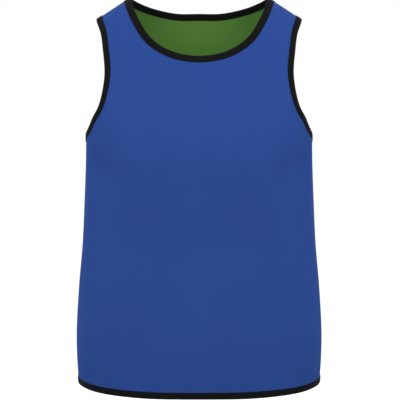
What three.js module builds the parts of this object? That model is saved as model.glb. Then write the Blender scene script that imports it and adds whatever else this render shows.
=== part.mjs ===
// A reversible training bib: a sleeveless top of two cloth layers, blue outside and green inside,
// with a folded black binding round the neck, both armholes and the hem.
// Millimetres, +Z up, the front faces -Y. The origin lies midway between the two neck points.
//
// A place on the cloth is an angle round the body, from 0 at the side seam to 90 at the centre line,
// and a drop, the distance down the cloth from the shoulder line. Every piece is made from such
// places, moved out of the middle of the cloth, so pieces that lie on each other keep their gap.

import * as THREE from "three";

// Thicknesses and gaps
const CLOTH_WALL = 1.0;
const BINDING_WALL = 1.0;
const GAP = 0.3;
const BINDING_WIDTH = 12.5;

// Shoulder line: straight from the neck point outwards, falling by SHOULDER_SLOPE. The neck point
// itself is sunk a little, which rounds its corner off.
const NECK_HALF_WIDTH = 121;
const SHOULDER_SLOPE = 0.65;
const SHOULDER_Y = 4;
const FRONT_ROUNDING = 100;
const BACK_ROUNDING = 85;
const NECK_ANGLE = 52.6;
const NECK_SINK = { depth: 4, reach: 2.4, length: 14 };
const SHOULDER_TIP_ANGLE = 24.5;

// Hem
const HEM_HEIGHT_SIDE = -687;
const HEM_HEIGHT_CENTRE = -693;

// Level sections of the body, from above the neck down to the hem
const SECTIONS = [
  { height: 70, halfWidth: 176, front: 46, back: 46, squareness: 2.4 },
  { height: 0, halfWidth: 188, front: 57, back: 58, squareness: 2.45 },
  { height: -70, halfWidth: 193, front: 71, back: 86, squareness: 2.55 },
  { height: -140, halfWidth: 195, front: 95, back: 107, squareness: 2.65 },
  { height: -205, halfWidth: 197.5, front: 116, back: 114, squareness: 2.6 },
  { height: -270, halfWidth: 199.5, front: 127, back: 110, squareness: 2.5 },
  { height: -350, halfWidth: 203, front: 122, back: 100, squareness: 2.4 },
  { height: -430, halfWidth: 207, front: 114, back: 98, squareness: 2.4 },
  { height: -520, halfWidth: 215, front: 116, back: 105, squareness: 2.4 },
  { height: -610, halfWidth: 219.5, front: 122, back: 113, squareness: 2.4 },
  { height: -700, halfWidth: 215.5, front: 122, back: 116, squareness: 2.25 },
];

// Edges of the two panels. Each starts on a line of symmetry and runs up to the shoulder line.
const NECK_EDGE = {
  front: [
    { angle: 90, height: -104 },
    { angle: 82, height: -101 },
    { angle: 74, height: -91.5 },
    { angle: 66, height: -72.5 },
    { angle: 58, height: -34.5 },
  ],
  back: [
    { angle: 90, height: -24.7 },
    { angle: 78, height: -24.5 },
    { angle: 66, height: -17 },
    { angle: 57, height: -7 },
  ],
};
const ARMHOLE_EDGE = {
  front: [
    { angle: 0, height: -243 },
    { angle: 10, height: -239 },
    { angle: 20, height: -230 },
    { angle: 29, height: -208 },
    { angle: 35, height: -190 },
    { angle: 39.5, height: -140 },
    { angle: 37, height: -95 },
    { angle: 32.5, height: -62 },
  ],
  back: [
    { angle: 0, height: -243 },
    { angle: 10, height: -239 },
    { angle: 20, height: -229 },
    { angle: 28, height: -208 },
    { angle: 33.5, height: -188 },
    { angle: 37, height: -140 },
    { angle: 35, height: -95 },
    { angle: 31, height: -62 },
  ],
};

// Broad soft folds. Depth is how far the cloth moves out, so a hollow has a negative one;
// reach and length are half the fold's size across and down; lean moves its middle across
// by that many degrees for each 100 mm down.
const FOLDS = {
  front: [
    { angle: 33, height: -292, reach: 11, length: 42, lean: -6, depth: -5 },
    { angle: 20, height: -300, reach: 9, length: 80, lean: 3, depth: 2.5 },
    { angle: 61, height: -590, reach: 15, length: 80, lean: -3, depth: -6 },
    { angle: 90, height: -560, reach: 12, length: 130, lean: 0, depth: 3 },
    { angle: 36, height: -600, reach: 12, length: 110, lean: 0, depth: 4 },
    { angle: 66, height: -410, reach: 16, length: 60, lean: 4, depth: -3 },
  ],
  back: [
    { angle: 32, height: -285, reach: 11, length: 45, lean: -5, depth: -5 },
    { angle: 68, height: -430, reach: 13, length: 110, lean: 3, depth: -5 },
    { angle: 90, height: -420, reach: 10, length: 120, lean: 0, depth: 2.5 },
    { angle: 58, height: -610, reach: 14, length: 75, lean: -4, depth: -5 },
    { angle: 34, height: -590, reach: 12, length: 110, lean: 2, depth: 4 },
  ],
};

// Mesh density: quads across half a panel, down the body, and up each opening's edge. The row
// between body and yoke dips by RIB_DIP between the underarm and the neck, so quads stay even.
const QUADS_ACROSS = 10;
const QUADS_DOWN = 11;
const QUADS_UP = 13;
const RIB_DIP = 100;
const RIB_FADE = 2;
const EVENING_PASSES = 2;
const EDGE_SAMPLES = 240;
const SETTLING_PASSES = 12;
const WALK_STEPS = 4;
const SLOPE_STEP = 0.01;

const COLOURS = { blue: 0x2d4b93, green: 0x477032, black: 0x272327 };
const SIDES = { front: -1, back: 1 };
const ROUNDING = { front: FRONT_ROUNDING, back: BACK_ROUNDING };
const CENTRE_ANGLE = 90;
const ARMHOLE_CENTRE = new THREE.Vector3(190, 0, -130);
const NECK_CENTRE = new THREE.Vector3(0, 0, 0);

// A smooth curve through a column of the section table
function sectionValue(column, height) {
  const rows = SECTIONS;
  const last = rows.length - 1;
  const spanAt = (i) => rows[i + 1].height - rows[i].height;
  const rise = (i) => (rows[i + 1][column] - rows[i][column]) / spanAt(i);
  const slopeAt = (i) => {
    if (i === 0) return 1.5 * rise(0) - 0.5 * slopeAt(1);
    if (i === last) return 1.5 * rise(last - 1) - 0.5 * slopeAt(last - 1);
    const weighted = rise(i - 1) * spanAt(i) + rise(i) * spanAt(i - 1);
    return weighted / (spanAt(i - 1) + spanAt(i));
  };
  let i = 0;
  while (i < last - 1 && height < rows[i + 1].height) i += 1;
  const span = spanAt(i);
  const t = (height - rows[i].height) / span;
  const start = (1 + 2 * t) * (1 - t) ** 2 * rows[i][column];
  const end = t * t * (3 - 2 * t) * rows[i + 1][column];
  const leave = t * (1 - t) ** 2 * span * slopeAt(i);
  const arrive = t * t * (t - 1) * span * slopeAt(i + 1);
  return start + end + leave + arrive;
}

// A level section is a rounded rectangle: its unit outline at an angle
function unitOutline(angle, squareness) {
  const c = Math.cos(THREE.MathUtils.degToRad(angle));
  const s = Math.sin(THREE.MathUtils.degToRad(angle));
  const reach = (Math.abs(c) ** squareness + Math.abs(s) ** squareness) ** (-1 / squareness);
  return { across: reach * c, deep: reach * s };
}

// Height of the shoulder line above or below the neck points, at an angle
function shoulderHeight(angle) {
  let height = 0;
  for (let pass = 0; pass < SETTLING_PASSES; pass += 1) {
    const { across } = unitOutline(angle, sectionValue("squareness", height));
    const x = sectionValue("halfWidth", height) * across;
    height = -SHOULDER_SLOPE * (x - NECK_HALF_WIDTH);
  }
  return height;
}

function foldDepth(side, angle, height) {
  return FOLDS[side].reduce((sum, fold) => {
    const down = (height - fold.height) / fold.length;
    const middle = fold.angle - (fold.lean * (height - fold.height)) / 100;
    const bell = (centre) => Math.exp(-(((angle - centre) / fold.reach) ** 2) - down * down);
    return sum + fold.depth * (bell(middle) + bell(2 * CENTRE_ANGLE - middle) + bell(-middle));
  }, 0);
}

function neckSink(angle, drop) {
  const across = (angle - NECK_ANGLE) / NECK_SINK.reach;
  const down = drop / NECK_SINK.length;
  return NECK_SINK.depth * Math.exp(-across * across - down * down);
}

// The middle of the cloth at a place: an arch over the shoulder, then straight down
function clothPoint(side, angle, drop) {
  const rounding = ROUNDING[side];
  const turn = Math.min(drop / rounding, Math.PI / 2);
  const straight = Math.max(drop - (rounding * Math.PI) / 2, 0);
  const top = shoulderHeight(angle) - neckSink(angle, drop);
  const height = top - rounding * (1 - Math.cos(turn)) - straight;
  const { across, deep } = unitOutline(angle, sectionValue("squareness", height));
  const x = sectionValue("halfWidth", height) * across;
  const y = sectionValue(side, height) * deep;
  const grow = 1 + foldDepth(side, angle, height) / Math.hypot(x, y);
  const out = Math.sin(turn);
  return new THREE.Vector3(x * grow, SHOULDER_Y * (1 - out) + SIDES[side] * y * grow * out, height);
}

function slopeAcross(side, angle, drop) {
  const ahead = clothPoint(side, angle + SLOPE_STEP, drop);
  return ahead.sub(clothPoint(side, angle - SLOPE_STEP, drop)).divideScalar(2 * SLOPE_STEP);
}

function slopeDown(side, angle, drop) {
  const ahead = clothPoint(side, angle, drop + SLOPE_STEP);
  return ahead.sub(clothPoint(side, angle, drop - SLOPE_STEP)).divideScalar(2 * SLOPE_STEP);
}

function clothNormal(side, angle, drop) {
  const normal = slopeAcross(side, angle, drop).cross(slopeDown(side, angle, drop));
  return normal.multiplyScalar(-SIDES[side]).normalize();
}

function dropAtHeight(side, angle, height) {
  const rounding = ROUNDING[side];
  const below = shoulderHeight(angle) - height;
  if (below >= rounding) return (rounding * Math.PI) / 2 + below - rounding;
  return rounding * Math.acos(Math.min(1 - below / rounding, 1));
}

// A place with its point and normal worked out. Where two panels meet, each stands half a gap back.
function place(side, angle, drop) {
  const point = clothPoint(side, angle, drop);
  const onSeam = angle === 0 || drop === 0;
  const seamShift = onSeam ? (SIDES[side] * GAP) / 2 : 0;
  return { side, angle, drop, point, normal: clothNormal(side, angle, drop), seamShift };
}

// Moves along the cloth from a place, in a direction, by a distance
function walk(side, start, direction, distance) {
  let { angle, drop } = start;
  for (let step = 0; step < WALK_STEPS; step += 1) {
    const across = slopeAcross(side, angle, drop);
    const down = slopeDown(side, angle, drop);
    const aa = across.dot(across);
    const ad = across.dot(down);
    const dd = down.dot(down);
    const a = across.dot(direction);
    const d = down.dot(direction);
    const area = aa * dd - ad * ad;
    const turn = (a * dd - d * ad) / area;
    const fall = (d * aa - a * ad) / area;
    const moved = across.multiplyScalar(turn).addScaledVector(down, fall).length();
    const scale = distance / WALK_STEPS / moved;
    angle += turn * scale;
    drop += fall * scale;
  }
  return { angle, drop };
}

// Stations at equal steps along an edge, each with the direction that leads into the cloth
function edgeStations(side, rows, shoulderAngle, openingCentre) {
  const ends = [...rows, { angle: shoulderAngle, height: shoulderHeight(shoulderAngle) }];
  const before = { angle: 2 * rows[0].angle - rows[1].angle, height: rows[1].height };
  const points = [before, ...ends].map((row) => new THREE.Vector3(row.angle, row.height, 0));
  const curve = new THREE.CatmullRomCurve3(points, false, "centripetal");
  const first = 1 / (points.length - 1);
  const samples = [];
  for (let i = 0; i <= EDGE_SAMPLES; i += 1) {
    const { x, y } = curve.getPoint(first + ((1 - first) * i) / EDGE_SAMPLES);
    const drop = i === EDGE_SAMPLES ? 0 : dropAtHeight(side, x, y);
    samples.push({ angle: x, drop, point: clothPoint(side, x, drop) });
  }
  const lengths = [0];
  for (let i = 1; i <= EDGE_SAMPLES; i += 1) {
    lengths.push(lengths[i - 1] + samples[i].point.distanceTo(samples[i - 1].point));
  }
  const stations = [];
  for (let k = 0; k <= QUADS_UP; k += 1) {
    const target = (lengths[EDGE_SAMPLES] * k) / QUADS_UP;
    let i = 1;
    while (i < EDGE_SAMPLES && lengths[i] < target) i += 1;
    const t = (target - lengths[i - 1]) / (lengths[i] - lengths[i - 1]);
    const angle = THREE.MathUtils.lerp(samples[i - 1].angle, samples[i].angle, t);
    const drop = THREE.MathUtils.lerp(samples[i - 1].drop, samples[i].drop, t);
    const along = samples[i].point.clone().sub(samples[i - 1].point);
    stations.push({ angle, drop, into: clothNormal(side, angle, drop).cross(along) });
  }
  stations[0].angle = rows[0].angle;
  stations[0].into = slopeDown(side, rows[0].angle, stations[0].drop);
  stations[QUADS_UP].drop = 0;
  stations[QUADS_UP].into = slopeAcross(side, shoulderAngle, 0);
  stations.forEach((station) => {
    const away = clothPoint(side, station.angle, station.drop).sub(openingCentre);
    if (station.into.dot(away) < 0) station.into.negate();
    station.into.normalize();
  });
  return stations;
}

// The place at a distance from the finished edge, kept exactly on the seam or the centre line
function inset(side, station, distance) {
  const { angle, drop } = distance > 0 ? walk(side, station, station.into, distance) : station;
  const onLine = station.angle === 0 || station.angle === CENTRE_ANGLE;
  return place(side, onLine ? station.angle : angle, station.drop === 0 ? 0 : drop);
}

function hemInset(side, angle, distance) {
  const rise = Math.sin(THREE.MathUtils.degToRad(angle)) ** 2;
  const height = THREE.MathUtils.lerp(HEM_HEIGHT_SIDE, HEM_HEIGHT_CENTRE, rise);
  return place(side, angle, dropAtHeight(side, angle, height) - distance);
}

// Evens out a grid: each inner crossing settles in the middle of its four neighbours
function evenOut(grid) {
  for (let pass = 0; pass < EVENING_PASSES; pass += 1) {
    for (let i = 1; i < grid.length - 1; i += 1) {
      for (let j = 1; j < grid[i].length - 1; j += 1) {
        const around = [grid[i - 1][j], grid[i + 1][j], grid[i][j - 1], grid[i][j + 1]];
        for (const key of ["angle", "drop"]) {
          grid[i][j][key] = around.reduce((sum, spot) => sum + spot[key], 0) / around.length;
        }
      }
    }
  }
}

// Half of one panel: a strip under each binding and the field between them. The field's rows run
// from the side seam, and higher up the armhole, to the centre line, and higher up the neck.
function halfPanel(side) {
  const panelEdge = BINDING_WALL + GAP;
  const armhole = edgeStations(side, ARMHOLE_EDGE[side], SHOULDER_TIP_ANGLE, ARMHOLE_CENTRE);
  const neck = edgeStations(side, NECK_EDGE[side], NECK_ANGLE, NECK_CENTRE);
  const strip = (stations, distance) => stations.map((station) => inset(side, station, distance));
  const armholeStrip = [strip(armhole, panelEdge), strip(armhole, BINDING_WIDTH)];
  const neckStrip = [strip(neck, BINDING_WIDTH), strip(neck, panelEdge)];
  const across = Array.from({ length: QUADS_ACROSS + 1 }, (_, j) => j / QUADS_ACROSS);
  const hemStrip = [panelEdge, BINDING_WIDTH].map((distance) =>
    across.map((u) => hemInset(side, CENTRE_ANGLE * u, distance)),
  );

  const upTheLine = (end, start) =>
    Array.from({ length: QUADS_DOWN - 1 }, (_, i) => {
      const drop = THREE.MathUtils.lerp(end.drop, start.drop, (i + 1) / QUADS_DOWN);
      return place(side, end.angle, drop);
    });
  const lowest = hemStrip[1];
  const left = [lowest[0], ...upTheLine(lowest[0], armholeStrip[1][0]), ...armholeStrip[1]];
  const right = [lowest.at(-1), ...upTheLine(lowest.at(-1), neckStrip[0][0]), ...neckStrip[0]];
  const grid = left.map((_, i) => {
    const toShoulder = (left.length - 1 - i) / QUADS_UP;
    const dip = RIB_DIP * (toShoulder > 1 ? i / QUADS_DOWN : toShoulder ** RIB_FADE);
    return across.map((u) => ({
      angle: THREE.MathUtils.lerp(left[i].angle, right[i].angle, u),
      drop: THREE.MathUtils.lerp(left[i].drop, right[i].drop, u) + dip * Math.sin(Math.PI * u),
    }));
  });
  grid[0] = lowest.map(({ angle, drop }) => ({ angle, drop }));
  evenOut(grid);
  const field = grid.map((row, i) => {
    const inner = row.slice(1, -1).map(({ angle, drop }) => place(side, angle, drop));
    return i === 0 ? lowest : [left[i], ...inner, right[i]];
  });
  return [armholeStrip, neckStrip, turned(field), turned(hemStrip)];
}

function turned(grid) {
  return grid[0].map((_, j) => grid.map((row) => row[j]));
}

// A closed mesh, turned the right way out
function closedMesh(name, colour, points, triangles) {
  let volume = 0;
  for (const [a, b, c] of triangles) {
    volume += points[a].dot(new THREE.Vector3().crossVectors(points[b], points[c]));
  }
  const faces = volume < 0 ? triangles.map(([a, b, c]) => [a, c, b]) : triangles;
  const geometry = new THREE.BufferGeometry().setFromPoints(points);
  geometry.setIndex(faces.flat());
  geometry.computeVertexNormals();
  const material = new THREE.MeshStandardMaterial({ color: colour, roughness: 0.9, metalness: 0 });
  const mesh = new THREE.Mesh(geometry, material);
  mesh.name = name;
  return mesh;
}

function offsetPoint(spot, offset, mirrored) {
  const point = spot.point.clone().addScaledVector(spot.normal, offset);
  point.y += spot.seamShift;
  if (spot.angle === CENTRE_ANGLE) point.x = 0;
  if (mirrored) point.x = -point.x;
  return point;
}

// One layer of one panel: both halves, between two offsets from the middle of the cloth
function panelLayer(name, colour, blocks, offsets) {
  const places = [];
  const indexOf = new Map();
  const vertex = (spot, mirrored) => {
    const flip = mirrored && spot.angle !== CENTRE_ANGLE;
    const known = indexOf.get(spot) ?? [];
    if (known[flip ? 1 : 0] === undefined) {
      known[flip ? 1 : 0] = places.length;
      places.push([spot, flip]);
      indexOf.set(spot, known);
    }
    return known[flip ? 1 : 0];
  };
  const skin = [];
  for (const mirrored of [false, true]) {
    for (const block of blocks) {
      for (let i = 1; i < block.length; i += 1) {
        for (let j = 1; j < block[i].length; j += 1) {
          const corners = [block[i - 1][j - 1], block[i][j - 1], block[i][j], block[i - 1][j]];
          const [a, b, c, d] = corners.map((spot) => vertex(spot, mirrored));
          skin.push(...(mirrored ? [[a, c, b], [a, d, c]] : [[a, b, c], [a, c, d]]));
        }
      }
    }
  }
  const count = places.length;
  const points = offsets.flatMap((offset) =>
    places.map(([spot, flip]) => offsetPoint(spot, offset, flip)),
  );
  const edges = new Map();
  for (const face of skin) {
    face.forEach((a, k) => edges.set(a + "," + face[(k + 1) % 3], [a, face[(k + 1) % 3]]));
  }
  const rim = [...edges.values()].filter(([a, b]) => !edges.has(b + "," + a));
  const walls = rim.flatMap(([a, b]) => [[b, a, a + count], [b, a + count, b + count]]);
  const inside = skin.map(([a, b, c]) => [a + count, c + count, b + count]);
  return closedMesh(name, colour, points, [...skin, ...inside, ...walls]);
}

// The folded binding's section, as distance from the finished edge and offset from the middle
const CLOTH_HALF = GAP / 2 + CLOTH_WALL;
const CHANNEL_HALF = CLOTH_HALF + GAP;
const BINDING_HALF = CHANNEL_HALF + BINDING_WALL;
const FOLD_ROUNDING = 2.2;
const BINDING_FACE = [
  { distance: BINDING_WIDTH, offset: BINDING_HALF },
  { distance: FOLD_ROUNDING, offset: BINDING_HALF },
  { distance: 0.3 * FOLD_ROUNDING, offset: 0.7 * BINDING_HALF },
];
const BINDING_PROFILE = [
  ...BINDING_FACE,
  { distance: 0, offset: 0 },
  ...BINDING_FACE.toReversed().map(({ distance, offset }) => ({ distance, offset: -offset })),
  { distance: BINDING_WIDTH, offset: -CHANNEL_HALF },
  { distance: BINDING_WALL, offset: -CHANNEL_HALF },
  { distance: BINDING_WALL, offset: CHANNEL_HALF },
  { distance: BINDING_WIDTH, offset: CHANNEL_HALF },
];

// A ring of binding from a closed list of stations, each giving the place at a distance in.
// Every quad is split as the panel's own strip is: its diagonal starts at the lower station,
// at the finished edge for an armhole and at the inner side for the neck and the hem.
function bindingRing(name, stations, startsAtEdge) {
  const points = stations.flatMap(({ at, mirrored }) =>
    BINDING_PROFILE.map(({ distance, offset }) => {
      const spot = { ...at(distance), seamShift: 0 };
      return offsetPoint(spot, offset, mirrored);
    }),
  );
  const width = BINDING_PROFILE.length;
  const triangles = [];
  stations.forEach((station, s) => {
    const next = (s + 1) % stations.length;
    const rising = station.rank < stations[next].rank;
    for (let k = 0; k < width; k += 1) {
      const side = (k + 1) % width;
      const inwards = BINDING_PROFILE[k].distance < BINDING_PROFILE[side].distance;
      const [a, b] = [s * width + k, next * width + k];
      const [c, d] = [next * width + side, s * width + side];
      if ((rising === inwards) === startsAtEdge) triangles.push([a, b, c], [a, c, d]);
      else triangles.push([a, b, d], [b, c, d]);
    }
  });
  return closedMesh(name, COLOURS.black, points, triangles);
}

function openingStations(side, rows, shoulderAngle, centre, mirrored) {
  return edgeStations(side, rows, shoulderAngle, centre).map((station, rank) => ({
    at: (distance) => inset(side, station, distance),
    mirrored,
    rank,
  }));
}

function neckStations() {
  const run = (side, mirrored) =>
    openingStations(side, NECK_EDGE[side], NECK_ANGLE, NECK_CENTRE, mirrored);
  return [
    ...run("front", false),
    ...run("back", false).toReversed().slice(1),
    ...run("back", true).slice(1),
    ...run("front", true).toReversed().slice(1, -1),
  ];
}

function armholeStations(mirrored) {
  const run = (side) =>
    openingStations(side, ARMHOLE_EDGE[side], SHOULDER_TIP_ANGLE, ARMHOLE_CENTRE, mirrored);
  return [...run("front"), ...run("back").toReversed().slice(1, -1)];
}

function hemStations() {
  const run = (side, mirrored) =>
    Array.from({ length: QUADS_ACROSS + 1 }, (_, j) => ({
      at: (distance) => hemInset(side, (CENTRE_ANGLE * j) / QUADS_ACROSS, distance),
      mirrored,
      rank: j,
    }));
  return [
    ...run("front", false),
    ...run("front", true).toReversed().slice(1),
    ...run("back", true).slice(1),
    ...run("back", false).toReversed().slice(1, -1),
  ];
}

const bib = new THREE.Group();
bib.name = "training_bib";
for (const side of ["front", "back"]) {
  const blocks = halfPanel(side);
  bib.add(panelLayer(`${side}_outer`, COLOURS.blue, blocks, [CLOTH_HALF, GAP / 2]));
  bib.add(panelLayer(`${side}_inner`, COLOURS.green, blocks, [-GAP / 2, -CLOTH_HALF]));
}
bib.add(bindingRing("neck_binding", neckStations(), false));
bib.add(bindingRing("armhole_binding_right", armholeStations(false), true));
bib.add(bindingRing("armhole_binding_left", armholeStations(true), true));
bib.add(bindingRing("hem_binding", hemStations(), false));

export default bib;
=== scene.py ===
# Looks of a reversible training bib: blue mesh knit outside, green inside, folded black binding.
# Sizes in the tables are millimetres; meshes are made in metres, +Z up, the front faces -Y.
# A place on the cloth is an angle round the body (0 at the side seam, 90 at the centre line) and a
# drop, the distance down the cloth from the shoulder line.
import math

import bpy
import numpy as np
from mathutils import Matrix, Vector


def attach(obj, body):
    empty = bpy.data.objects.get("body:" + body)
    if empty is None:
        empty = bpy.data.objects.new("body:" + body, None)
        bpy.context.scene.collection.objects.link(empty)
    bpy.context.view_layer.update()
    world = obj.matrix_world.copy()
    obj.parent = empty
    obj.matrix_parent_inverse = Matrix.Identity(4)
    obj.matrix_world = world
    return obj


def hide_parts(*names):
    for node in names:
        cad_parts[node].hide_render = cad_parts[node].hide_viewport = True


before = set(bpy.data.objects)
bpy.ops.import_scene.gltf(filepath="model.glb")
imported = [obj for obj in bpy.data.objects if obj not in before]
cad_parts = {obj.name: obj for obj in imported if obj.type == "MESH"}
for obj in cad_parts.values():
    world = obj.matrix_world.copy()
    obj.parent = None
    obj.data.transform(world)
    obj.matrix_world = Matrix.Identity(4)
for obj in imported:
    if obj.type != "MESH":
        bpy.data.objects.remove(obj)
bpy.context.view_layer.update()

MM = 0.001

# Thicknesses and gaps
CLOTH_WALL = 1.0
BINDING_WALL = 1.0
GAP = 0.3
BINDING_WIDTH = 12.5
CLOTH_HALF = GAP / 2 + CLOTH_WALL
CHANNEL_HALF = CLOTH_HALF + GAP
PANEL_EDGE = BINDING_WALL + GAP

# Which way along Y each side of the body faces
SIGN = {"front": -1.0, "back": 1.0}
CENTRE_ANGLE = 90.0

# Shoulder line, from the neck point, which is sunk a little, to the tip at the armhole. Rounding
# is the radius of the cloth's turn from the shoulder line down each side.
NECK_HALF_WIDTH = 121.0
SHOULDER_SLOPE = 0.65
SHOULDER_Y = 4.0
NECK_ANGLE = 52.6
NECK_SINK = {"depth": 4.0, "reach": 2.4, "length": 14.0}
SHOULDER_TIP_ANGLE = 24.5
ROUNDING = {"front": 100.0, "back": 85.0}
SETTLING_PASSES = 12

# Hem: a little higher at the sides, lowest between the side and the middle, with a slight wave
HEM_HEIGHT = -691.3
HEM_SIDE_RISE = 3.6
HEM_CORNER_FALL = 1.3
HEM_WAVE = -1.2

# Level sections of the body, from above the neck down to the hem
SECTION_COLUMNS = ("height", "half_width", "front", "back", "squareness")
SECTION_ROWS = [
    (70, 176, 46, 46, 2.4),
    (0, 188, 57, 58, 2.45),
    (-70, 193, 71, 86, 2.55),
    (-140, 195, 95, 107, 2.65),
    (-205, 197.5, 116, 114, 2.6),
    (-270, 199.5, 127, 110, 2.5),
    (-350, 203, 122, 100, 2.4),
    (-430, 207, 114, 98, 2.4),
    (-520, 215, 116, 105, 2.4),
    (-610, 219.5, 122, 113, 2.4),
    (-700, 215.5, 122, 116, 2.25),
]
SECTIONS = dict(zip(SECTION_COLUMNS, np.array(SECTION_ROWS, float).T))

# Edges of the two panels as (angle, height), from a line of symmetry up to the shoulder line
NECK_EDGE = {
    "front": [(90, -104), (82, -101), (74, -91.5), (66, -72.5), (58, -34.5)],
    "back": [(90, -24.7), (78, -24.5), (66, -17), (57, -7)],
}
ARMHOLE_EDGE = {
    "front": [
        (0, -243), (10, -239), (20, -230), (29, -208),
        (35, -190), (39.5, -140), (37, -95), (32.5, -62),
    ],
    "back": [
        (0, -243), (10, -239), (20, -229), (28, -208),
        (33.5, -188), (37, -140), (35, -95), (31, -62),
    ],
}
NECK_CENTRE = (0.0, 0.0, 0.0)
ARMHOLE_CENTRE = (190.0, 0.0, -130.0)

# Soft folds. Depth is how far the cloth moves out; reach and length are half the fold's size
# across (degrees) and down; lean moves its middle across by that many degrees per 100 mm.
FOLD_COLUMNS = ("angle", "height", "reach", "length", "lean", "depth")
BROAD_FOLDS = {
    "front": [
        (33, -292, 11, 42, -6, -5),
        (20, -300, 9, 80, 3, 2.5),
        (61, -590, 15, 80, -3, -6),
        (90, -560, 12, 130, 0, 3),
        (36, -600, 12, 110, 0, 4),
        (66, -410, 16, 60, 4, -3),
    ],
    "back": [
        (32, -285, 11, 45, -5, -5),
        (68, -430, 13, 110, 3, -5),
        (90, -420, 10, 120, 0, 2.5),
        (58, -610, 14, 75, -4, -5),
        (34, -590, 12, 110, 2, 4),
    ],
}
FINE_FOLDS = {
    "front": [
        (45, -302, 9, 23, 8, -5.0),
        (31, -298, 7, 20, -16, -3.6),
        (43, -331, 10, 30, 0, -4.5),
        (40, -374, 12, 46, 0, -4.0),
        (66, -404, 15, 55, 4, 1.3),
        (22, -290, 6, 18, -20, -1.2),
        (90, -112, 22, 50, 0, 2.6),
        (60, -735, 20, 85, 0, -7),
        (14, -330, 6, 60, 2, -1.6),
        (58, -268, 16, 13, -6, -1.1),
        (72, -545, 5, 60, -2, -1.8),
        (50, -575, 6, 75, 3, 1.6),
        (60, -612, 13, 52, -3, -2.5),
        (58, -660, 13, 50, -3, -4.5),
        (80, -610, 6, 55, 2, -1.2),
        (24, -560, 6, 90, 1, -1.4),
    ],
    "back": [
        (26, -284, 7, 18, -24, -4.0),
        (41, -286, 9, 21, 6, -5.0),
        (40, -335, 11, 42, 0, -3.0),
        (15, -340, 6, 65, 2, -1.8),
        (60, -300, 7, 90, 6, -1.6),
        (77, -500, 6, 80, -2, -1.6),
        (47, -560, 7, 85, 3, 1.8),
        (66, -630, 7, 45, -4, -1.8),
        (24, -570, 6, 90, 1, -1.4),
    ],
}

# Mesh density of half a panel, below the armhole and beside it, and how often each quad is then
# split. The rows of quads sag between their ends, least at the hem and the shoulder. The seam steps
# are extra rows and columns beside the seams, as shares of a first quad.
QUADS_ACROSS = 20
QUADS_DOWN = 22
QUADS_UP = 26
ROW_SAG = 100.0
SAG_FADE = 2
EVENING_PASSES = 8
SPLITS = 3
SEAM_STEPS = np.array([0.06, 0.12, 0.19, 0.26, 0.4, 0.52])
CURVE_STEPS = 60
WALK_STEPS = 4
SLOPE_STEP = 0.01
ANGLE_STEPS = 90
DROP_STEPS = 80
LONGEST_DROP = 800.0
SAME_ANGLE = 1e-6
SAME_PLACE_DECIMALS = 4
GRID_MARGIN = 1e-3

# How deep and how wide the cloth is drawn in beside a seam
SEAM_DIP = 1.1
SEAM_REACH = 2.4

# Stations along each run of a binding
NECK_STATIONS = 70
LONG_STATIONS = 90

# Materials, linear colours
BLUE = (0.0284, 0.08, 0.332)
GREEN = (0.138, 0.326, 0.063)
BLACK = (0.0062, 0.006, 0.0064)
PAPER = (0.93, 0.93, 0.93)
WHITE = (1.0, 1.0, 1.0)
GREY = (0.5, 0.5, 0.5)
GLOSS = 0.05
SHEEN_SPREAD = 0.45
BUMP_STRENGTH = 0.6
FINE_DETAIL = 1.0
NOISE_RANGE = (0.3, 0.7)

# Pitches are millimetres, noise scales are per metre, shades multiply a colour, and shares and
# heights say how much of a pattern goes into the colour and the relief
KNIT = {
    "pitch": 2.0,
    "wale_pitch": 1.0,
    "cloud_scale": 7.0,
    "cloud_shades": (0.94, 1.06),
    "yarn_scale": 900.0,
    "yarn_shade": 0.85,
    "yarn_share": 0.3,
    "hole_range": (0.7, 1.7),
    # The holes' darker colour is painted shade
    "hole_painted_shade": 0.4,
    "hole_painted_shade_share": 0.4,
    "wale_height": 0.12,
    "yarn_height": 0.3,
    "relief": 0.25,
    "roughness": (0.62, 0.78),
    "sheen": 0.05,
    "sheen_shade": 3.0,
}
TAPE = {
    "rib_pitch": 0.9,
    "twill_pitch": 1.3,
    "fleck_scale": 600.0,
    "cloud_scale": 25.0,
    "cloud_shades": (0.8, 1.3),
    "raised_range": (-1.2, 1.2),
    # The raised ribs' lighter colour is a painted highlight
    "raised_painted_highlight": 1.9,
    "raised_highlight_share": 0.35,
    "fleck_height": 0.6,
    "relief": 0.2,
    "roughness": (0.7, 0.88),
    "sheen": 0.08,
}
THREAD = {
    "twist_scale": 1800.0,
    "twist_shades": (0.8, 2.6),
    "relief": 0.1,
    "roughness": (0.5, 0.75),
    "sheen": 0.1,
}

# Stitching. The section's rows are the place along a stitch, its thickness and its rise, as shares
# of the stitch's length and radius
STITCH_PITCH = 2.9
STITCH_LENGTH = 2.2
STITCH_RADIUS = 0.28
STITCH_DISTANCE = 10.7
STITCH_SIDES = 6
STITCH_RAISE = 0.1
STITCH_AHEAD = 1.0
STITCH_SECTION = [(-0.5, 0.35, -0.3), (-0.3, 0.95, 0.0), (0.3, 0.95, 0.0), (0.5, 0.35, -0.3)]

# The binding's section as (distance from the finished edge, offset from the middle), half of it
BINDING_FACE = [
    (12.5, 1.75),
    (12.45, 2.0),
    (12.1, 2.2),
    (11.5, 2.2),
    (STITCH_DISTANCE, 2.02),
    (9.9, 2.25),
    (8.0, 2.42),
    (5.5, 2.45),
    (3.4, 2.4),
    (2.0, 2.2),
    (1.0, 1.75),
    (0.35, 1.05),
]

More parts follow.
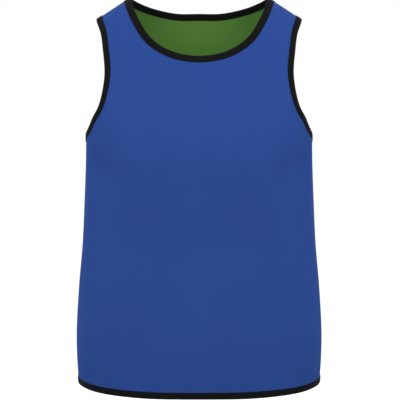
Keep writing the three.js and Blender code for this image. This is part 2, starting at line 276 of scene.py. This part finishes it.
# Camera, floor and light, in metres and degrees. The lamps stand in pairs, left and right.
CAMERA_PLACE = (0.0, -2.3, -0.155)
CAMERA_AIM = (0.0, 0.0, -0.3587)
CAMERA_LENS = 116.06
CAMERA_SENSOR = 36.0
CAMERA_SHIFT = 0.0022
FLOOR_HEIGHT = -1.0
FLOOR_SIZE = 60.0
FLOOR_GLOW = 0.25
FLOOR_CLOUD = {"scale": 0.6, "shade": 1.02}
LAMP_AIM = (0.0, 0.0, -0.27)
SOFT_LIGHT = 0.5
BACKDROP_LIGHT = 1.0
OVERHEAD = {"elevation": 88, "strength": 1.0, "softness": 50}
LAMP_COLUMNS = ("place", "size", "power", "spread")
LAMPS = {
    "key": ((0.9, -1.35, 0.45), 0.9, 2.0, 100),
    "fill": ((0.9, 1.4, 0.5), 0.9, 5.0, 180),
    "side": ((1.4, -0.6, -0.35), 0.7, 2.1, 180),
}


# Values between the level sections, on one smooth curve
def section_value(column, height):
    at, value = SECTIONS["height"], SECTIONS[column]
    span = np.diff(at)
    rise = np.diff(value) / span
    slope = np.empty_like(value)
    slope[1:-1] = (rise[:-1] * span[1:] + rise[1:] * span[:-1]) / (span[1:] + span[:-1])
    slope[0] = 1.5 * rise[0] - 0.5 * slope[1]
    slope[-1] = 1.5 * rise[-1] - 0.5 * slope[-2]
    i = np.clip(np.searchsorted(-at, -np.asarray(height)) - 1, 0, len(at) - 2)
    t = (height - at[i]) / span[i]
    start = (1 + 2 * t) * (1 - t) ** 2 * value[i]
    end = t * t * (3 - 2 * t) * value[i + 1]
    leave = t * (1 - t) ** 2 * span[i] * slope[i]
    arrive = t * t * (t - 1) * span[i] * slope[i + 1]
    return start + end + leave + arrive


# A superellipse of half width 1: an ellipse with squarer corners
def unit_outline(angle, squareness):
    c, s = np.cos(np.radians(angle)), np.sin(np.radians(angle))
    reach = (np.abs(c) ** squareness + np.abs(s) ** squareness) ** (-1 / squareness)
    return reach * c, reach * s


# Height of the shoulder line at an angle, settled in passes because the outline changes with it
def shoulder_height(angle):
    height = np.zeros_like(np.asarray(angle, float))
    for _ in range(SETTLING_PASSES):
        across, _ = unit_outline(angle, section_value("squareness", height))
        x = section_value("half_width", height) * across
        height = -SHOULDER_SLOPE * (x - NECK_HALF_WIDTH)
    return height


# Each fold is mirrored at the centre line and at the side seam, so one on the centre line counts
# twice
def fold_depth(side, angle, height):
    total = np.zeros_like(height)
    for row in BROAD_FOLDS[side] + FINE_FOLDS[side]:
        fold = dict(zip(FOLD_COLUMNS, row))
        down = (height - fold["height"]) / fold["length"]
        middle = fold["angle"] - fold["lean"] * (height - fold["height"]) / 100
        for centre in (middle, 2 * CENTRE_ANGLE - middle, -middle):
            across = (angle - centre) / fold["reach"]
            total = total + fold["depth"] * np.exp(-(across**2) - down**2)
    return total


def neck_sink(angle, drop):
    across, down = (angle - NECK_ANGLE) / NECK_SINK["reach"], drop / NECK_SINK["length"]
    return NECK_SINK["depth"] * np.exp(-(across**2) - down**2)


# A point in the middle of the cloth, half way between its two layers
def cloth_point(side, angle, drop):
    rounding = ROUNDING[side]
    turn = np.minimum(drop / rounding, math.pi / 2)
    straight = np.maximum(drop - rounding * math.pi / 2, 0)
    top = shoulder_height(angle) - neck_sink(angle, drop)
    height = top - rounding * (1 - np.cos(turn)) - straight
    across, deep = unit_outline(angle, section_value("squareness", height))
    x = section_value("half_width", height) * across
    y = section_value(side, height) * deep
    grow = 1 + fold_depth(side, angle, height) / np.hypot(x, y)
    out = np.sin(turn)
    y = SHOULDER_Y * (1 - out) + SIGN[side] * y * grow * out
    return np.stack([x * grow, y, height], -1)


def slopes(side, angle, drop):
    step = SLOPE_STEP
    across = cloth_point(side, angle + step, drop) - cloth_point(side, angle - step, drop)
    down = cloth_point(side, angle, drop + step) - cloth_point(side, angle, drop - step)
    return across / (2 * step), down / (2 * step)


def unit(vectors):
    return vectors / np.linalg.norm(vectors, axis=-1, keepdims=True)


def cloth_normal(side, angle, drop):
    across, down = slopes(side, angle, drop)
    return unit(-SIGN[side] * np.cross(across, down))


def drop_at_height(side, angle, height):
    rounding = ROUNDING[side]
    below = shoulder_height(angle) - height
    arch = rounding * np.arccos(np.clip(1 - below / rounding, -1, 1))
    return np.where(below >= rounding, rounding * math.pi / 2 + below - rounding, arch)


# Moves places along the cloth, in a direction and over a distance
def walk(side, angle, drop, direction, distance):
    for _ in range(WALK_STEPS):
        across, down = slopes(side, angle, drop)
        aa, ad, dd = (across**2).sum(-1), (across * down).sum(-1), (down**2).sum(-1)
        a, d = (across * direction).sum(-1), (down * direction).sum(-1)
        area = aa * dd - ad * ad
        turn = (a * dd - d * ad) / area
        fall = (d * aa - a * ad) / area
        moved = np.linalg.norm(across * turn[:, None] + down * fall[:, None], axis=-1)
        scale = distance / WALK_STEPS / moved
        angle = angle + turn * scale
        drop = drop + fall * scale
    return angle, drop


# A smooth curve through the knots, from the second one to the last but one
def curve_through(knots):
    pieces = []
    for p0, p1, p2, p3 in zip(knots, knots[1:], knots[2:], knots[3:]):
        t1 = np.linalg.norm(p1 - p0) ** 0.5
        t2 = t1 + np.linalg.norm(p2 - p1) ** 0.5
        t3 = t2 + np.linalg.norm(p3 - p2) ** 0.5
        t = np.linspace(t1, t2, CURVE_STEPS + 1)[1 if pieces else 0 :, None]
        a1 = ((t1 - t) * p0 + t * p1) / t1
        a2 = ((t2 - t) * p1 + (t - t1) * p2) / (t2 - t1)
        a3 = ((t3 - t) * p2 + (t - t2) * p3) / (t3 - t2)
        b1 = ((t2 - t) * a1 + t * a2) / t2
        b2 = ((t3 - t) * a2 + (t - t1) * a3) / (t3 - t1)
        pieces.append(((t2 - t) * b1 + (t - t1) * b2) / (t2 - t1))
    return np.vstack(pieces)


def run_lengths(points):
    steps = np.linalg.norm(np.diff(points, axis=0), axis=1)
    return np.concatenate([[0], np.cumsum(steps)])


# Stations at equal steps along an edge: angle, drop and the direction that leads into the cloth
def edge_line(side, rows, shoulder_angle, centre, count):
    ends = np.array(rows + [(shoulder_angle, float(shoulder_height(shoulder_angle)))], float)
    before = [2 * ends[0, 0] - ends[1, 0], ends[1, 1]]
    after = 2 * ends[-1] - ends[-2]
    angle, height = curve_through(np.vstack([before, ends, after])).T
    drop = drop_at_height(side, angle, height)
    drop[-1] = 0
    points = cloth_point(side, angle, drop)
    run = run_lengths(points)
    tangent = np.gradient(points, axis=0)
    at = np.linspace(0, run[-1], count + 1)
    angle, drop = np.interp(at, run, angle), np.interp(at, run, drop)
    along = np.stack([np.interp(at, run, t) for t in tangent.T], -1)
    into = np.cross(cloth_normal(side, angle, drop), along)
    across, down = slopes(side, angle, drop)
    into[0], into[-1] = down[0], across[-1]
    away = cloth_point(side, angle, drop) - np.array(centre)
    into *= np.sign((into * away).sum(-1))[:, None]
    angle[0], drop[-1] = rows[0][0], 0
    return {"angle": angle, "drop": drop, "into": unit(into)}


# The line moved into the cloth, its ends kept on the line of symmetry and on the shoulder line
def inset(side, line, distance):
    angle, drop = line["angle"].copy(), line["drop"].copy()
    if distance > 0:
        angle, drop = walk(side, angle, drop, line["into"], distance)
    angle[0] = line["angle"][0]
    drop[-1] = 0
    return np.stack([angle, drop], -1)


def hem_inset(side, angle, distance):
    turn = np.radians(2 * angle)
    height = HEM_HEIGHT + HEM_SIDE_RISE * np.cos(turn) + HEM_CORNER_FALL * np.cos(2 * turn)
    height = height + HEM_WAVE * np.cos(3 * turn)
    return np.stack([angle, drop_at_height(side, angle, height) - distance], -1)


def neck_line(side, count):
    return edge_line(side, NECK_EDGE[side], NECK_ANGLE, NECK_CENTRE, count)


def armhole_line(side, count):
    return edge_line(side, ARMHOLE_EDGE[side], SHOULDER_TIP_ANGLE, ARMHOLE_CENTRE, count)


def resampled(grid, rows, columns):
    i = np.minimum(rows.astype(int), grid.shape[0] - 2)
    j = np.minimum(columns.astype(int), grid.shape[1] - 2)
    t, s = (rows - i)[:, None, None], (columns - j)[None, :, None]
    lines = grid[i] * (1 - t) + grid[i + 1] * t
    return lines[:, j] * (1 - s) + lines[:, j + 1] * s


def up_the_line(hem_end, edge_start):
    share = np.arange(1, QUADS_DOWN)[:, None] / QUADS_DOWN
    return hem_end + (edge_start - hem_end) * share


# The main field of quads in half a panel, from the hem up to the shoulder
def main_field(hem, armhole, neck):
    share = np.linspace(0, 1, QUADS_ACROSS + 1)
    left = np.vstack([hem[:1], up_the_line(hem[0], armhole[0]), armhole])
    right = np.vstack([hem[-1:], up_the_line(hem[-1], neck[0]), neck])
    grid = left[:, None] + (right - left)[:, None] * share[None, :, None]
    row = np.arange(len(left))
    to_shoulder = (len(left) - 1 - row) / QUADS_UP
    sag = ROW_SAG * np.where(to_shoulder > 1, row / QUADS_DOWN, to_shoulder**SAG_FADE)
    grid[..., 1] += sag[:, None] * np.sin(math.pi * share)
    grid[0] = hem
    for _ in range(EVENING_PASSES):
        around = grid[:-2, 1:-1] + grid[2:, 1:-1] + grid[1:-1, :-2] + grid[1:-1, 2:]
        grid[1:-1, 1:-1] = around / 4
    return grid


# Grids of places over half a panel: the main field, then the strips under the hem binding, the
# armhole binding and the neck binding
def half_panel(side):
    armhole, neck = armhole_line(side, QUADS_UP), neck_line(side, QUADS_UP)
    armhole_strip = np.stack([inset(side, armhole, d) for d in (PANEL_EDGE, BINDING_WIDTH)], 1)
    neck_strip = np.stack([inset(side, neck, d) for d in (BINDING_WIDTH, PANEL_EDGE)], 1)
    angle = CENTRE_ANGLE * np.linspace(0, 1, QUADS_ACROSS + 1)
    hem = [hem_inset(side, angle, d) for d in (PANEL_EDGE, BINDING_WIDTH)]
    grid = main_field(hem[1], armhole_strip[:, 1], neck_strip[:, 0])
    rows = np.arange((len(grid) - 1) * SPLITS + 1) / SPLITS
    rows = np.unique(np.concatenate([rows, rows[-1] - SEAM_STEPS]))
    columns = np.arange(QUADS_ACROSS * SPLITS + 1) / SPLITS
    columns = np.unique(np.concatenate([columns, SEAM_STEPS]))
    upper = rows[rows >= QUADS_DOWN] - QUADS_DOWN
    pair = np.array([0.0, 1.0])
    return [
        resampled(grid, rows, columns),
        resampled(np.stack(hem), pair, columns),
        resampled(armhole_strip, upper, pair),
        resampled(neck_strip, upper, pair),
    ]


def on_centre_line(angle):
    return np.abs(angle - CENTRE_ANGLE) < SAME_ANGLE


def block_faces(grid):
    count = np.arange(grid.shape[0] * grid.shape[1]).reshape(grid.shape[:2])
    faces = np.stack([count[:-1, :-1], count[1:, :-1], count[1:, 1:], count[:-1, 1:]], -1)
    across, down = grid[0, -1] - grid[0, 0], grid[-1, 0] - grid[0, 0]
    faces = faces.reshape(-1, 4)
    return faces if across[0] * down[1] > across[1] * down[0] else faces[:, ::-1]


# Both halves of a panel as one skin: places, which of them are mirrored, and faces
def panel_skin(side):
    blocks = half_panel(side)
    keys, faces, start = [], [], 0
    for mirrored in (0, 1):
        for grid in blocks:
            places = grid.reshape(-1, 2)
            flag = np.where(on_centre_line(places[:, 0]), 0, mirrored)
            keys.append(np.column_stack([places, flag]))
            quads = block_faces(grid) + start
            faces.append(quads[:, ::-1] if mirrored else quads)
            start += len(places)
    keys, faces = np.vstack(keys), np.vstack(faces)
    rounded = np.round(keys, SAME_PLACE_DECIMALS)
    _, first, index = np.unique(rounded, axis=0, return_index=True, return_inverse=True)
    return keys[first, :2], keys[first, 2] > 0, index.reshape(-1)[faces]


# Distance round the body from the centre line to a place
def cloth_across(side, angle, drop):
    angles = np.linspace(0, CENTRE_ANGLE, ANGLE_STEPS + 1)
    drops = np.linspace(0, LONGEST_DROP, DROP_STEPS + 1)
    points = cloth_point(side, *np.meshgrid(angles, drops))
    steps = np.linalg.norm(np.diff(points, axis=1), axis=2)
    left = np.zeros((len(drops), len(angles)))
    left[:, :-1] = np.cumsum(steps[:, ::-1], axis=1)[:, ::-1]
    i = np.clip(drop / drops[1], 0, DROP_STEPS - GRID_MARGIN)
    j = np.clip(angle / angles[1], 0, ANGLE_STEPS - GRID_MARGIN)
    i0, j0 = i.astype(int), j.astype(int)
    t, s = i - i0, j - j0
    upper = left[i0, j0] * (1 - s) + left[i0, j0 + 1] * s
    lower = left[i0 + 1, j0] * (1 - s) + left[i0 + 1, j0 + 1] * s
    return upper * (1 - t) + lower * t


# The dip beside the side seam and the shoulder seam
def seam_dip(side, angle, drop):
    girth = cloth_across(side, np.zeros_like(drop), drop)
    from_side = girth - cloth_across(side, angle, drop)
    return SEAM_DIP * np.exp(-((np.minimum(from_side, drop) / SEAM_REACH) ** 2))


def new_piece(name, points, faces, corner_uv, flat_faces=0):
    mesh = bpy.data.meshes.new(name)
    mesh.from_pydata((points * MM).tolist(), [], faces.tolist())
    mesh.uv_layers.new(name="cloth", do_init=False)
    mesh.uv_layers["cloth"].uv.foreach_set("vector", (corner_uv * MM).astype(np.float32).ravel())
    smooth = np.ones(len(faces), bool)
    if flat_faces:
        smooth[-flat_faces:] = False
    mesh.polygons.foreach_set("use_smooth", smooth)
    mesh.update()
    piece = bpy.data.objects.new(name, mesh)
    bpy.context.scene.collection.objects.link(piece)
    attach(piece, "root")
    return piece


# Narrow faces that join the rims of an outer skin and of the inner skin whose points follow it
def rim_walls(faces, count):
    starts, ends = faces.ravel(), np.roll(faces, -1, axis=1).ravel()
    rim = ~np.isin(starts * count + ends, ends * count + starts)
    starts, ends = starts[rim], ends[rim]
    return np.stack([ends, starts, starts + count, ends + count], -1)


# One layer of one panel, between two offsets from the middle of the cloth
def panel_layer(name, side, skin, offsets):
    places, mirrored, faces = skin
    angle, drop = places.T
    hand = np.where(mirrored, -1, 1)
    points, normals = cloth_point(side, angle, drop), cloth_normal(side, angle, drop)
    points = points - normals * seam_dip(side, angle, drop)[:, None]
    layers = []
    for offset in offsets:
        layer = points + normals * offset
        layer[:, 0] = np.where(on_centre_line(angle), 0, layer[:, 0]) * hand
        layers.append(layer)
    a, b, c = (layers[0][faces[:, k]] for k in range(3))
    facing = normals * np.column_stack([hand, np.ones_like(hand), np.ones_like(hand)])
    outwards = (np.cross(b - a, c - a) * facing[faces[:, 0]]).sum()
    if outwards < 0:
        faces = faces[:, ::-1]
    walls = rim_walls(faces, len(points))
    quads = np.vstack([faces, faces[:, ::-1] + len(points), walls])
    uv = np.column_stack([cloth_across(side, angle, drop) * hand, -drop])
    corner_uv = np.vstack([uv, uv])[quads.ravel()]
    return new_piece(name, np.vstack(layers), quads, corner_uv, flat_faces=len(walls))


# The binding's whole section: the rounded outside, then the channel that holds the cloth's edge
def binding_profile():
    back = [(distance, -offset) for distance, offset in reversed(BINDING_FACE)]
    channel = [
        (BINDING_WIDTH, -CHANNEL_HALF),
        (BINDING_WALL, -CHANNEL_HALF),
        (BINDING_WALL, CHANNEL_HALF),
        (BINDING_WIDTH, CHANNEL_HALF),
    ]
    return np.array(BINDING_FACE + [(0, 0)] + back + channel)


# A run gives the places of a stretch of edge at a distance in; a ring is a closed list of runs
def side_run(side, places, mirrored, backwards):
    return {"side": side, "places": places, "mirrored": mirrored, "backwards": backwards}


def neck_runs(count):
    lines = {side: neck_line(side, count) for side in SIGN}
    places = {s: (lambda d, s=s: inset(s, lines[s], d)) for s in SIGN}
    return [
        side_run("front", places["front"], False, False),
        side_run("back", places["back"], False, True),
        side_run("back", places["back"], True, False),
        side_run("front", places["front"], True, True),
    ]


def armhole_runs(count, mirrored):
    lines = {side: armhole_line(side, count) for side in SIGN}
    places = {s: (lambda d, s=s: inset(s, lines[s], d)) for s in SIGN}
    return [
        side_run("front", places["front"], mirrored, False),
        side_run("back", places["back"], mirrored, True),
    ]


def hem_runs(count):
    angle = np.linspace(0, CENTRE_ANGLE, count + 1)
    places = {s: (lambda d, s=s: hem_inset(s, angle, d)) for s in SIGN}
    return [
        side_run("front", places["front"], False, False),
        side_run("front", places["front"], True, True),
        side_run("back", places["back"], True, False),
        side_run("back", places["back"], False, True),
    ]


# Points and normals all round a ring at one distance from the edge
def ring_line(runs, distance):
    points, normals = [], []
    for run in runs:
        places = run["places"](distance)
        angle, drop = places.T
        point = cloth_point(run["side"], angle, drop)
        normal = cloth_normal(run["side"], angle, drop)
        middle = on_centre_line(angle)
        point[middle, 0] = normal[middle, 0] = 0
        if run["mirrored"]:
            point[:, 0] *= -1
            normal[:, 0] *= -1
        if run["backwards"]:
            point, normal = point[::-1], normal[::-1]
        points.append(point[:-1])
        normals.append(normal[:-1])
    return np.vstack(points), unit(np.vstack(normals))


def binding_ring(name, runs):
    profile = binding_profile()
    lines = {}
    for distance in profile[:, 0]:
        if distance not in lines:
            lines[distance] = ring_line(runs, distance)
    columns = [lines[d][0] + lines[d][1] * offset for d, offset in profile]
    grid = np.stack(columns, 1)
    stations, width = grid.shape[:2]
    s, k = np.meshgrid(np.arange(stations), np.arange(width), indexing="ij")
    corners = [(s, k), (s + 1, k), (s + 1, k + 1), (s, k + 1)]
    quads = [(i % stations) * width + j % width for i, j in corners]
    faces = np.stack(quads, -1).reshape(-1, 4)
    edge = lines[profile[len(BINDING_FACE) // 2, 0]][0]
    along = run_lengths(np.vstack([edge, edge[:1]]))
    around = run_lengths(np.vstack([profile, profile[:1]]))
    uv = [np.stack([along[i], around[j]], -1) for i, j in corners]
    corner_uv = np.stack(uv, 2).reshape(-1, 2)
    points = grid.reshape(-1, 3)
    a, b, c = (points[faces[:, n]] for n in range(3))
    if (a * np.cross(b, c)).sum() < 0:
        faces = faces[:, ::-1]
        corner_uv = corner_uv.reshape(-1, 4, 2)[:, ::-1].reshape(-1, 2)
    return new_piece(name, points, faces, corner_uv)


# The corners of one thread, ring after ring, as (along, beside, out)
def thread_corners():
    turns = np.linspace(0, 2 * math.pi, STITCH_SIDES, endpoint=False)
    corners = []
    for place, thickness, rise in STITCH_SECTION:
        for turn in turns:
            sideways = STITCH_RADIUS * thickness * math.cos(turn)
            upwards = STITCH_RADIUS * (thickness * math.sin(turn) + rise)
            corners.append((STITCH_LENGTH * place, sideways, upwards))
    return np.array(corners)


# A row of short threads laid in the binding's groove, on one face of it
def stitch_row(runs, offset):
    points, normals = ring_line(runs, STITCH_DISTANCE)
    line = points + normals * offset
    closed = np.vstack([line, line[:1]])
    run = run_lengths(closed)
    count = int(run[-1] / STITCH_PITCH)
    at = np.arange(count) * run[-1] / count
    spots = np.stack([np.interp(at, run, closed[:, n]) for n in range(3)], -1)
    beyond = (at + STITCH_AHEAD) % run[-1]
    ahead = np.stack([np.interp(beyond, run, closed[:, n]) for n in range(3)], -1)
    wrapped = np.vstack([normals, normals[:1]])
    out = unit(np.stack([np.interp(at, run, wrapped[:, n]) for n in range(3)], -1))
    along = unit(ahead - spots)
    beside = unit(np.cross(out, along))
    out = np.cross(along, beside)
    frames = np.stack([along, beside, out], 1)
    return spots[:, None] + np.einsum("vk,skd->svd", thread_corners(), frames)


# Both rows of a binding as one mesh. Each end of a thread, with six corners, takes two faces.
def stitching(name, runs):
    face_offset = dict(BINDING_FACE)[STITCH_DISTANCE] + STITCH_RAISE
    threads = np.concatenate([stitch_row(runs, face_offset), stitch_row(runs, -face_offset)])
    rings = len(STITCH_SECTION)
    index = np.arange(rings * STITCH_SIDES).reshape(rings, STITCH_SIDES)
    turned = np.roll(index, -1, axis=1)
    side = np.stack([index[:-1], index[1:], turned[1:], turned[:-1]], -1).reshape(-1, 4)
    caps = []
    for row in (index[0], index[-1, ::-1]):
        caps += [(row[0], row[1], row[2], row[3]), (row[0], row[3], row[4], row[5])]
    quads = np.vstack([side[:, ::-1], caps])
    shift = np.arange(len(threads))[:, None, None] * rings * STITCH_SIDES
    faces = (quads[None] + shift).reshape(-1, 4)
    points = threads.reshape(-1, 3)
    return new_piece(name, points, faces, np.zeros((faces.size, 2)))


# A material's node tree, with short ways to add and link its nodes
class Tree:
    def __init__(self, name):
        self.material = bpy.data.materials.new(name)
        self.material.use_nodes = True
        self.tree = self.material.node_tree
        self.tree.nodes.clear()

    def add(self, kind, **values):
        node = self.tree.nodes.new("ShaderNode" + kind)
        for key, value in values.items():
            setattr(node, key, value)
        return node

    def link(self, source, target):
        self.tree.links.new(source, target)

    def fill(self, target, value):
        if isinstance(value, bpy.types.NodeSocket):
            self.link(value, target)
        else:
            target.default_value = value

    def math(self, operation, *values):
        node = self.add("Math", operation=operation)
        for socket, value in zip(node.inputs, values):
            self.fill(socket, value)
        return node.outputs[0]

    def spread(self, value, low, high, to_low, to_high):
        node = self.add("MapRange", interpolation_type="SMOOTHSTEP")
        for socket, number in zip(node.inputs, (value, low, high, to_low, to_high)):
            self.fill(socket, number)
        return node.outputs[0]

    def noise(self, vector, scale, detail=2.0):
        node = self.add("TexNoise")
        self.link(vector, node.inputs["Vector"])
        node.inputs["Scale"].default_value = scale
        node.inputs["Detail"].default_value = detail
        return node.outputs["Fac"]

    def mix(self, factor, first, second):
        node = self.add("Mix", data_type="RGBA")
        self.fill(node.inputs[0], factor)
        self.fill(node.inputs[6], (*first, 1) if isinstance(first, tuple) else first)
        self.fill(node.inputs[7], (*second, 1) if isinstance(second, tuple) else second)
        return node.outputs[2]

    def cloth_places(self):
        uv = self.add("UVMap", uv_map="cloth").outputs[0]
        split = self.add("SeparateXYZ")
        self.link(uv, split.inputs[0])
        return uv, split.outputs[0], split.outputs[1]

    def waves(self, value, pitch):
        return self.math("SINE", self.math("MULTIPLY", value, 2 * math.pi / (pitch * MM)))


def shade(colour, factor):
    return tuple(min(c * factor, 1.0) for c in colour)


# Pattern, from 0 to 1, sets the roughness between the look's two values
def finish_material(t, look, colour, height, pattern, sheen_tint):
    bump = t.add("Bump")
    bump.inputs["Strength"].default_value = BUMP_STRENGTH
    bump.inputs["Distance"].default_value = look["relief"] * MM
    t.link(height, bump.inputs["Height"])
    shader = t.add("BsdfPrincipled")
    t.link(colour, shader.inputs["Base Color"])
    roughness = t.spread(pattern, *NOISE_RANGE, *look["roughness"])
    t.link(roughness, shader.inputs["Roughness"])
    t.link(bump.outputs[0], shader.inputs["Normal"])
    shader.inputs["Specular IOR Level"].default_value = GLOSS
    shader.inputs["Sheen Weight"].default_value = look["sheen"]
    shader.inputs["Sheen Roughness"].default_value = SHEEN_SPREAD
    shader.inputs["Sheen Tint"].default_value = (*sheen_tint, 1)
    output = t.add("OutputMaterial")
    t.link(shader.outputs[0], output.inputs[0])
    return t.material


# Fine mesh knit: a staggered lattice of small holes, wales down the cloth, uneven yarn. The holes
# are darkened with painted shade, standing in for the shadow seen through them.
def knit_material(name, colour):
    t = Tree(name)
    uv, u, v = t.cloth_places()
    rising = t.waves(t.math("ADD", u, v), KNIT["pitch"])
    falling = t.waves(t.math("SUBTRACT", u, v), KNIT["pitch"])
    hole = t.spread(t.math("ADD", rising, falling), *KNIT["hole_range"], 0.0, 1.0)
    wale = t.waves(u, KNIT["wale_pitch"])
    cloud = t.noise(uv, KNIT["cloud_scale"])
    yarn = t.noise(uv, KNIT["yarn_scale"], FINE_DETAIL)
    dark, light = KNIT["cloud_shades"]
    ground = t.mix(cloud, shade(colour, dark), shade(colour, light))
    yarn_share = t.math("MULTIPLY", yarn, KNIT["yarn_share"])
    ground = t.mix(yarn_share, ground, shade(colour, KNIT["yarn_shade"]))
    # Painted shade: the colour is darkened in the holes, where shadow falls
    hole_painted_shade_share = t.math("MULTIPLY", hole, KNIT["hole_painted_shade_share"])
    body = t.mix(hole_painted_shade_share, ground, shade(colour, KNIT["hole_painted_shade"]))
    height = t.math("SUBTRACT", t.math("MULTIPLY", wale, KNIT["wale_height"]), hole)
    height = t.math("ADD", height, t.math("MULTIPLY", yarn, KNIT["yarn_height"]))
    return finish_material(t, KNIT, body, height, yarn, shade(colour, KNIT["sheen_shade"]))


# Folded tape: fine ribs across it and a soft fleck. The raised ribs are lightened with a painted
# highlight.
def tape_material(name, colour):
    t = Tree(name)
    uv, u, v = t.cloth_places()
    rib = t.waves(u, TAPE["rib_pitch"])
    twill = t.waves(t.math("ADD", u, v), TAPE["twill_pitch"])
    fleck = t.noise(uv, TAPE["fleck_scale"], FINE_DETAIL)
    cloud = t.noise(uv, TAPE["cloud_scale"])
    dark, light = TAPE["cloud_shades"]
    ground = t.mix(cloud, shade(colour, dark), shade(colour, light))
    raised = t.spread(t.math("ADD", rib, twill), *TAPE["raised_range"], 0.0, 1.0)
    # Painted highlight: the colour is made lighter on the raised ribs
    raised_highlight_share = t.math("MULTIPLY", raised, TAPE["raised_highlight_share"])
    body = t.mix(raised_highlight_share, ground, shade(colour, TAPE["raised_painted_highlight"]))
    height = t.math("ADD", raised, t.math("MULTIPLY", fleck, TAPE["fleck_height"]))
    return finish_material(t, TAPE, body, height, fleck, GREY)


# Twisted thread: light and dark strands
def thread_material(name, colour):
    t = Tree(name)
    place = t.add("TexCoord").outputs["Object"]
    twist = t.noise(place, THREAD["twist_scale"], FINE_DETAIL)
    dark, light = THREAD["twist_shades"]
    body = t.mix(twist, shade(colour, dark), shade(colour, light))
    return finish_material(t, THREAD, body, twist, twist, GREY)


def floor_material(name, colour):
    t = Tree(name)
    place = t.add("TexCoord").outputs["Object"]
    cloud = t.noise(place, FLOOR_CLOUD["scale"])
    body = t.mix(cloud, colour, shade(colour, FLOOR_CLOUD["shade"]))
    shader = t.add("BsdfPrincipled")
    t.link(body, shader.inputs["Base Color"])
    shader.inputs["Roughness"].default_value = 1.0
    shader.inputs["Specular IOR Level"].default_value = 0.0
    shader.inputs["Emission Color"].default_value = (*WHITE, 1)
    shader.inputs["Emission Strength"].default_value = FLOOR_GLOW
    output = t.add("OutputMaterial")
    t.link(shader.outputs[0], output.inputs[0])
    return t.material


# Four sheets of cloth, and which solid and finish each one stands for
def make_cloth(blue, green):
    made = {}
    for side in SIGN:
        skin = panel_skin(side)
        layers = {
            "outer": ((CLOTH_HALF, GAP / 2), blue, "blue_mesh"),
            "inner": ((-GAP / 2, -CLOTH_HALF), green, "green_mesh"),
        }
        for layer, (offsets, material, slot) in layers.items():
            piece = panel_layer(f"{side}_{layer}_cloth", side, skin, offsets)
            piece.data.materials.append(material)
            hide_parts(f"{side}_{layer}")
            made[side, layer] = piece
    return made


# Each binding is a folded tape with its stitching
def make_bindings(tape, thread):
    rings = {
        "neck_binding": neck_runs(NECK_STATIONS),
        "armhole_binding_right": armhole_runs(LONG_STATIONS, False),
        "armhole_binding_left": armhole_runs(LONG_STATIONS, True),
        "hem_binding": hem_runs(LONG_STATIONS),
    }
    made = {}
    for node, runs in rings.items():
        ring = binding_ring(node + "_tape", runs)
        ring.data.materials.append(tape)
        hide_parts(node)
        row = stitching(node + "_stitching", runs)
        row.data.materials.append(thread)
        made[node] = [ring, row]
    return made


def make_stage():
    bpy.ops.mesh.primitive_plane_add(size=FLOOR_SIZE, location=(0, 0, FLOOR_HEIGHT))
    floor = bpy.context.object
    floor.name = "floor"
    floor.data.materials.append(floor_material("floor_paper", PAPER))
    floor.visible_diffuse = floor.visible_glossy = False


def make_camera():
    data = bpy.data.cameras.new("camera")
    data.lens, data.sensor_width, data.shift_x = CAMERA_LENS, CAMERA_SENSOR, CAMERA_SHIFT
    camera = bpy.data.objects.new("camera", data)
    camera.location = CAMERA_PLACE
    towards = Vector(CAMERA_AIM) - Vector(CAMERA_PLACE)
    camera.rotation_euler = towards.to_track_quat("-Z", "Y").to_euler()
    bpy.context.scene.collection.objects.link(camera)
    bpy.context.scene.camera = camera


# A sun in front of the bib, almost overhead
def add_overhead_sun():
    data = bpy.data.lights.new("overhead", "SUN")
    data.energy = OVERHEAD["strength"]
    data.angle = math.radians(OVERHEAD["softness"])
    lamp = bpy.data.objects.new("overhead", data)
    elevation = math.radians(OVERHEAD["elevation"])
    source = Vector((0, -math.cos(elevation), math.sin(elevation)))
    lamp.rotation_euler = (-source).to_track_quat("-Z", "Y").to_euler()
    bpy.context.scene.collection.objects.link(lamp)


def add_lamp(name, row, side):
    values = dict(zip(LAMP_COLUMNS, row))
    data = bpy.data.lights.new(name, "AREA")
    data.spread = math.radians(values["spread"])
    data.shape, data.size, data.energy = "DISK", values["size"], values["power"]
    lamp = bpy.data.objects.new(name, data)
    x, y, z = values["place"]
    lamp.location = (side * x, y, z)
    towards = Vector(LAMP_AIM) - lamp.location
    lamp.rotation_euler = towards.to_track_quat("-Z", "Y").to_euler()
    lamp.visible_camera = False
    bpy.context.scene.collection.objects.link(lamp)


# The world lights the cloth softly, and the camera sees it as white paper
def make_light():
    scene = bpy.context.scene
    scene.view_settings.view_transform = "Standard"
    scene.view_settings.look = "None"
    world = bpy.data.worlds.new("studio")
    scene.world = world
    world.use_nodes = True
    tree = world.node_tree
    tree.nodes.clear()
    output = tree.nodes.new("ShaderNodeOutputWorld")
    mixed = tree.nodes.new("ShaderNodeMixShader")
    path = tree.nodes.new("ShaderNodeLightPath")
    soft = tree.nodes.new("ShaderNodeBackground")
    paper = tree.nodes.new("ShaderNodeBackground")
    soft.inputs["Color"].default_value = (*WHITE, 1)
    soft.inputs["Strength"].default_value = SOFT_LIGHT
    paper.inputs["Color"].default_value = (*WHITE, 1)
    paper.inputs["Strength"].default_value = BACKDROP_LIGHT
    tree.links.new(path.outputs["Is Camera Ray"], mixed.inputs[0])
    tree.links.new(soft.outputs[0], mixed.inputs[1])
    tree.links.new(paper.outputs[0], mixed.inputs[2])
    tree.links.new(mixed.outputs[0], output.inputs[0])
    add_overhead_sun()
    for side, end in ((-1, "left"), (1, "right")):
        for name, row in LAMPS.items():
            add_lamp(f"{name}_{end}", row, side)


blue = knit_material("blue_knit", BLUE)
green = knit_material("green_knit", GREEN)
tape = tape_material("binding_tape", BLACK)
thread = thread_material("black_thread", BLACK)
cloth = make_cloth(blue, green)
bindings = make_bindings(tape, thread)
on_front = bindings["neck_binding"] + bindings["armhole_binding_right"]
on_front += bindings["armhole_binding_left"]
make_stage()
make_camera()
make_light()
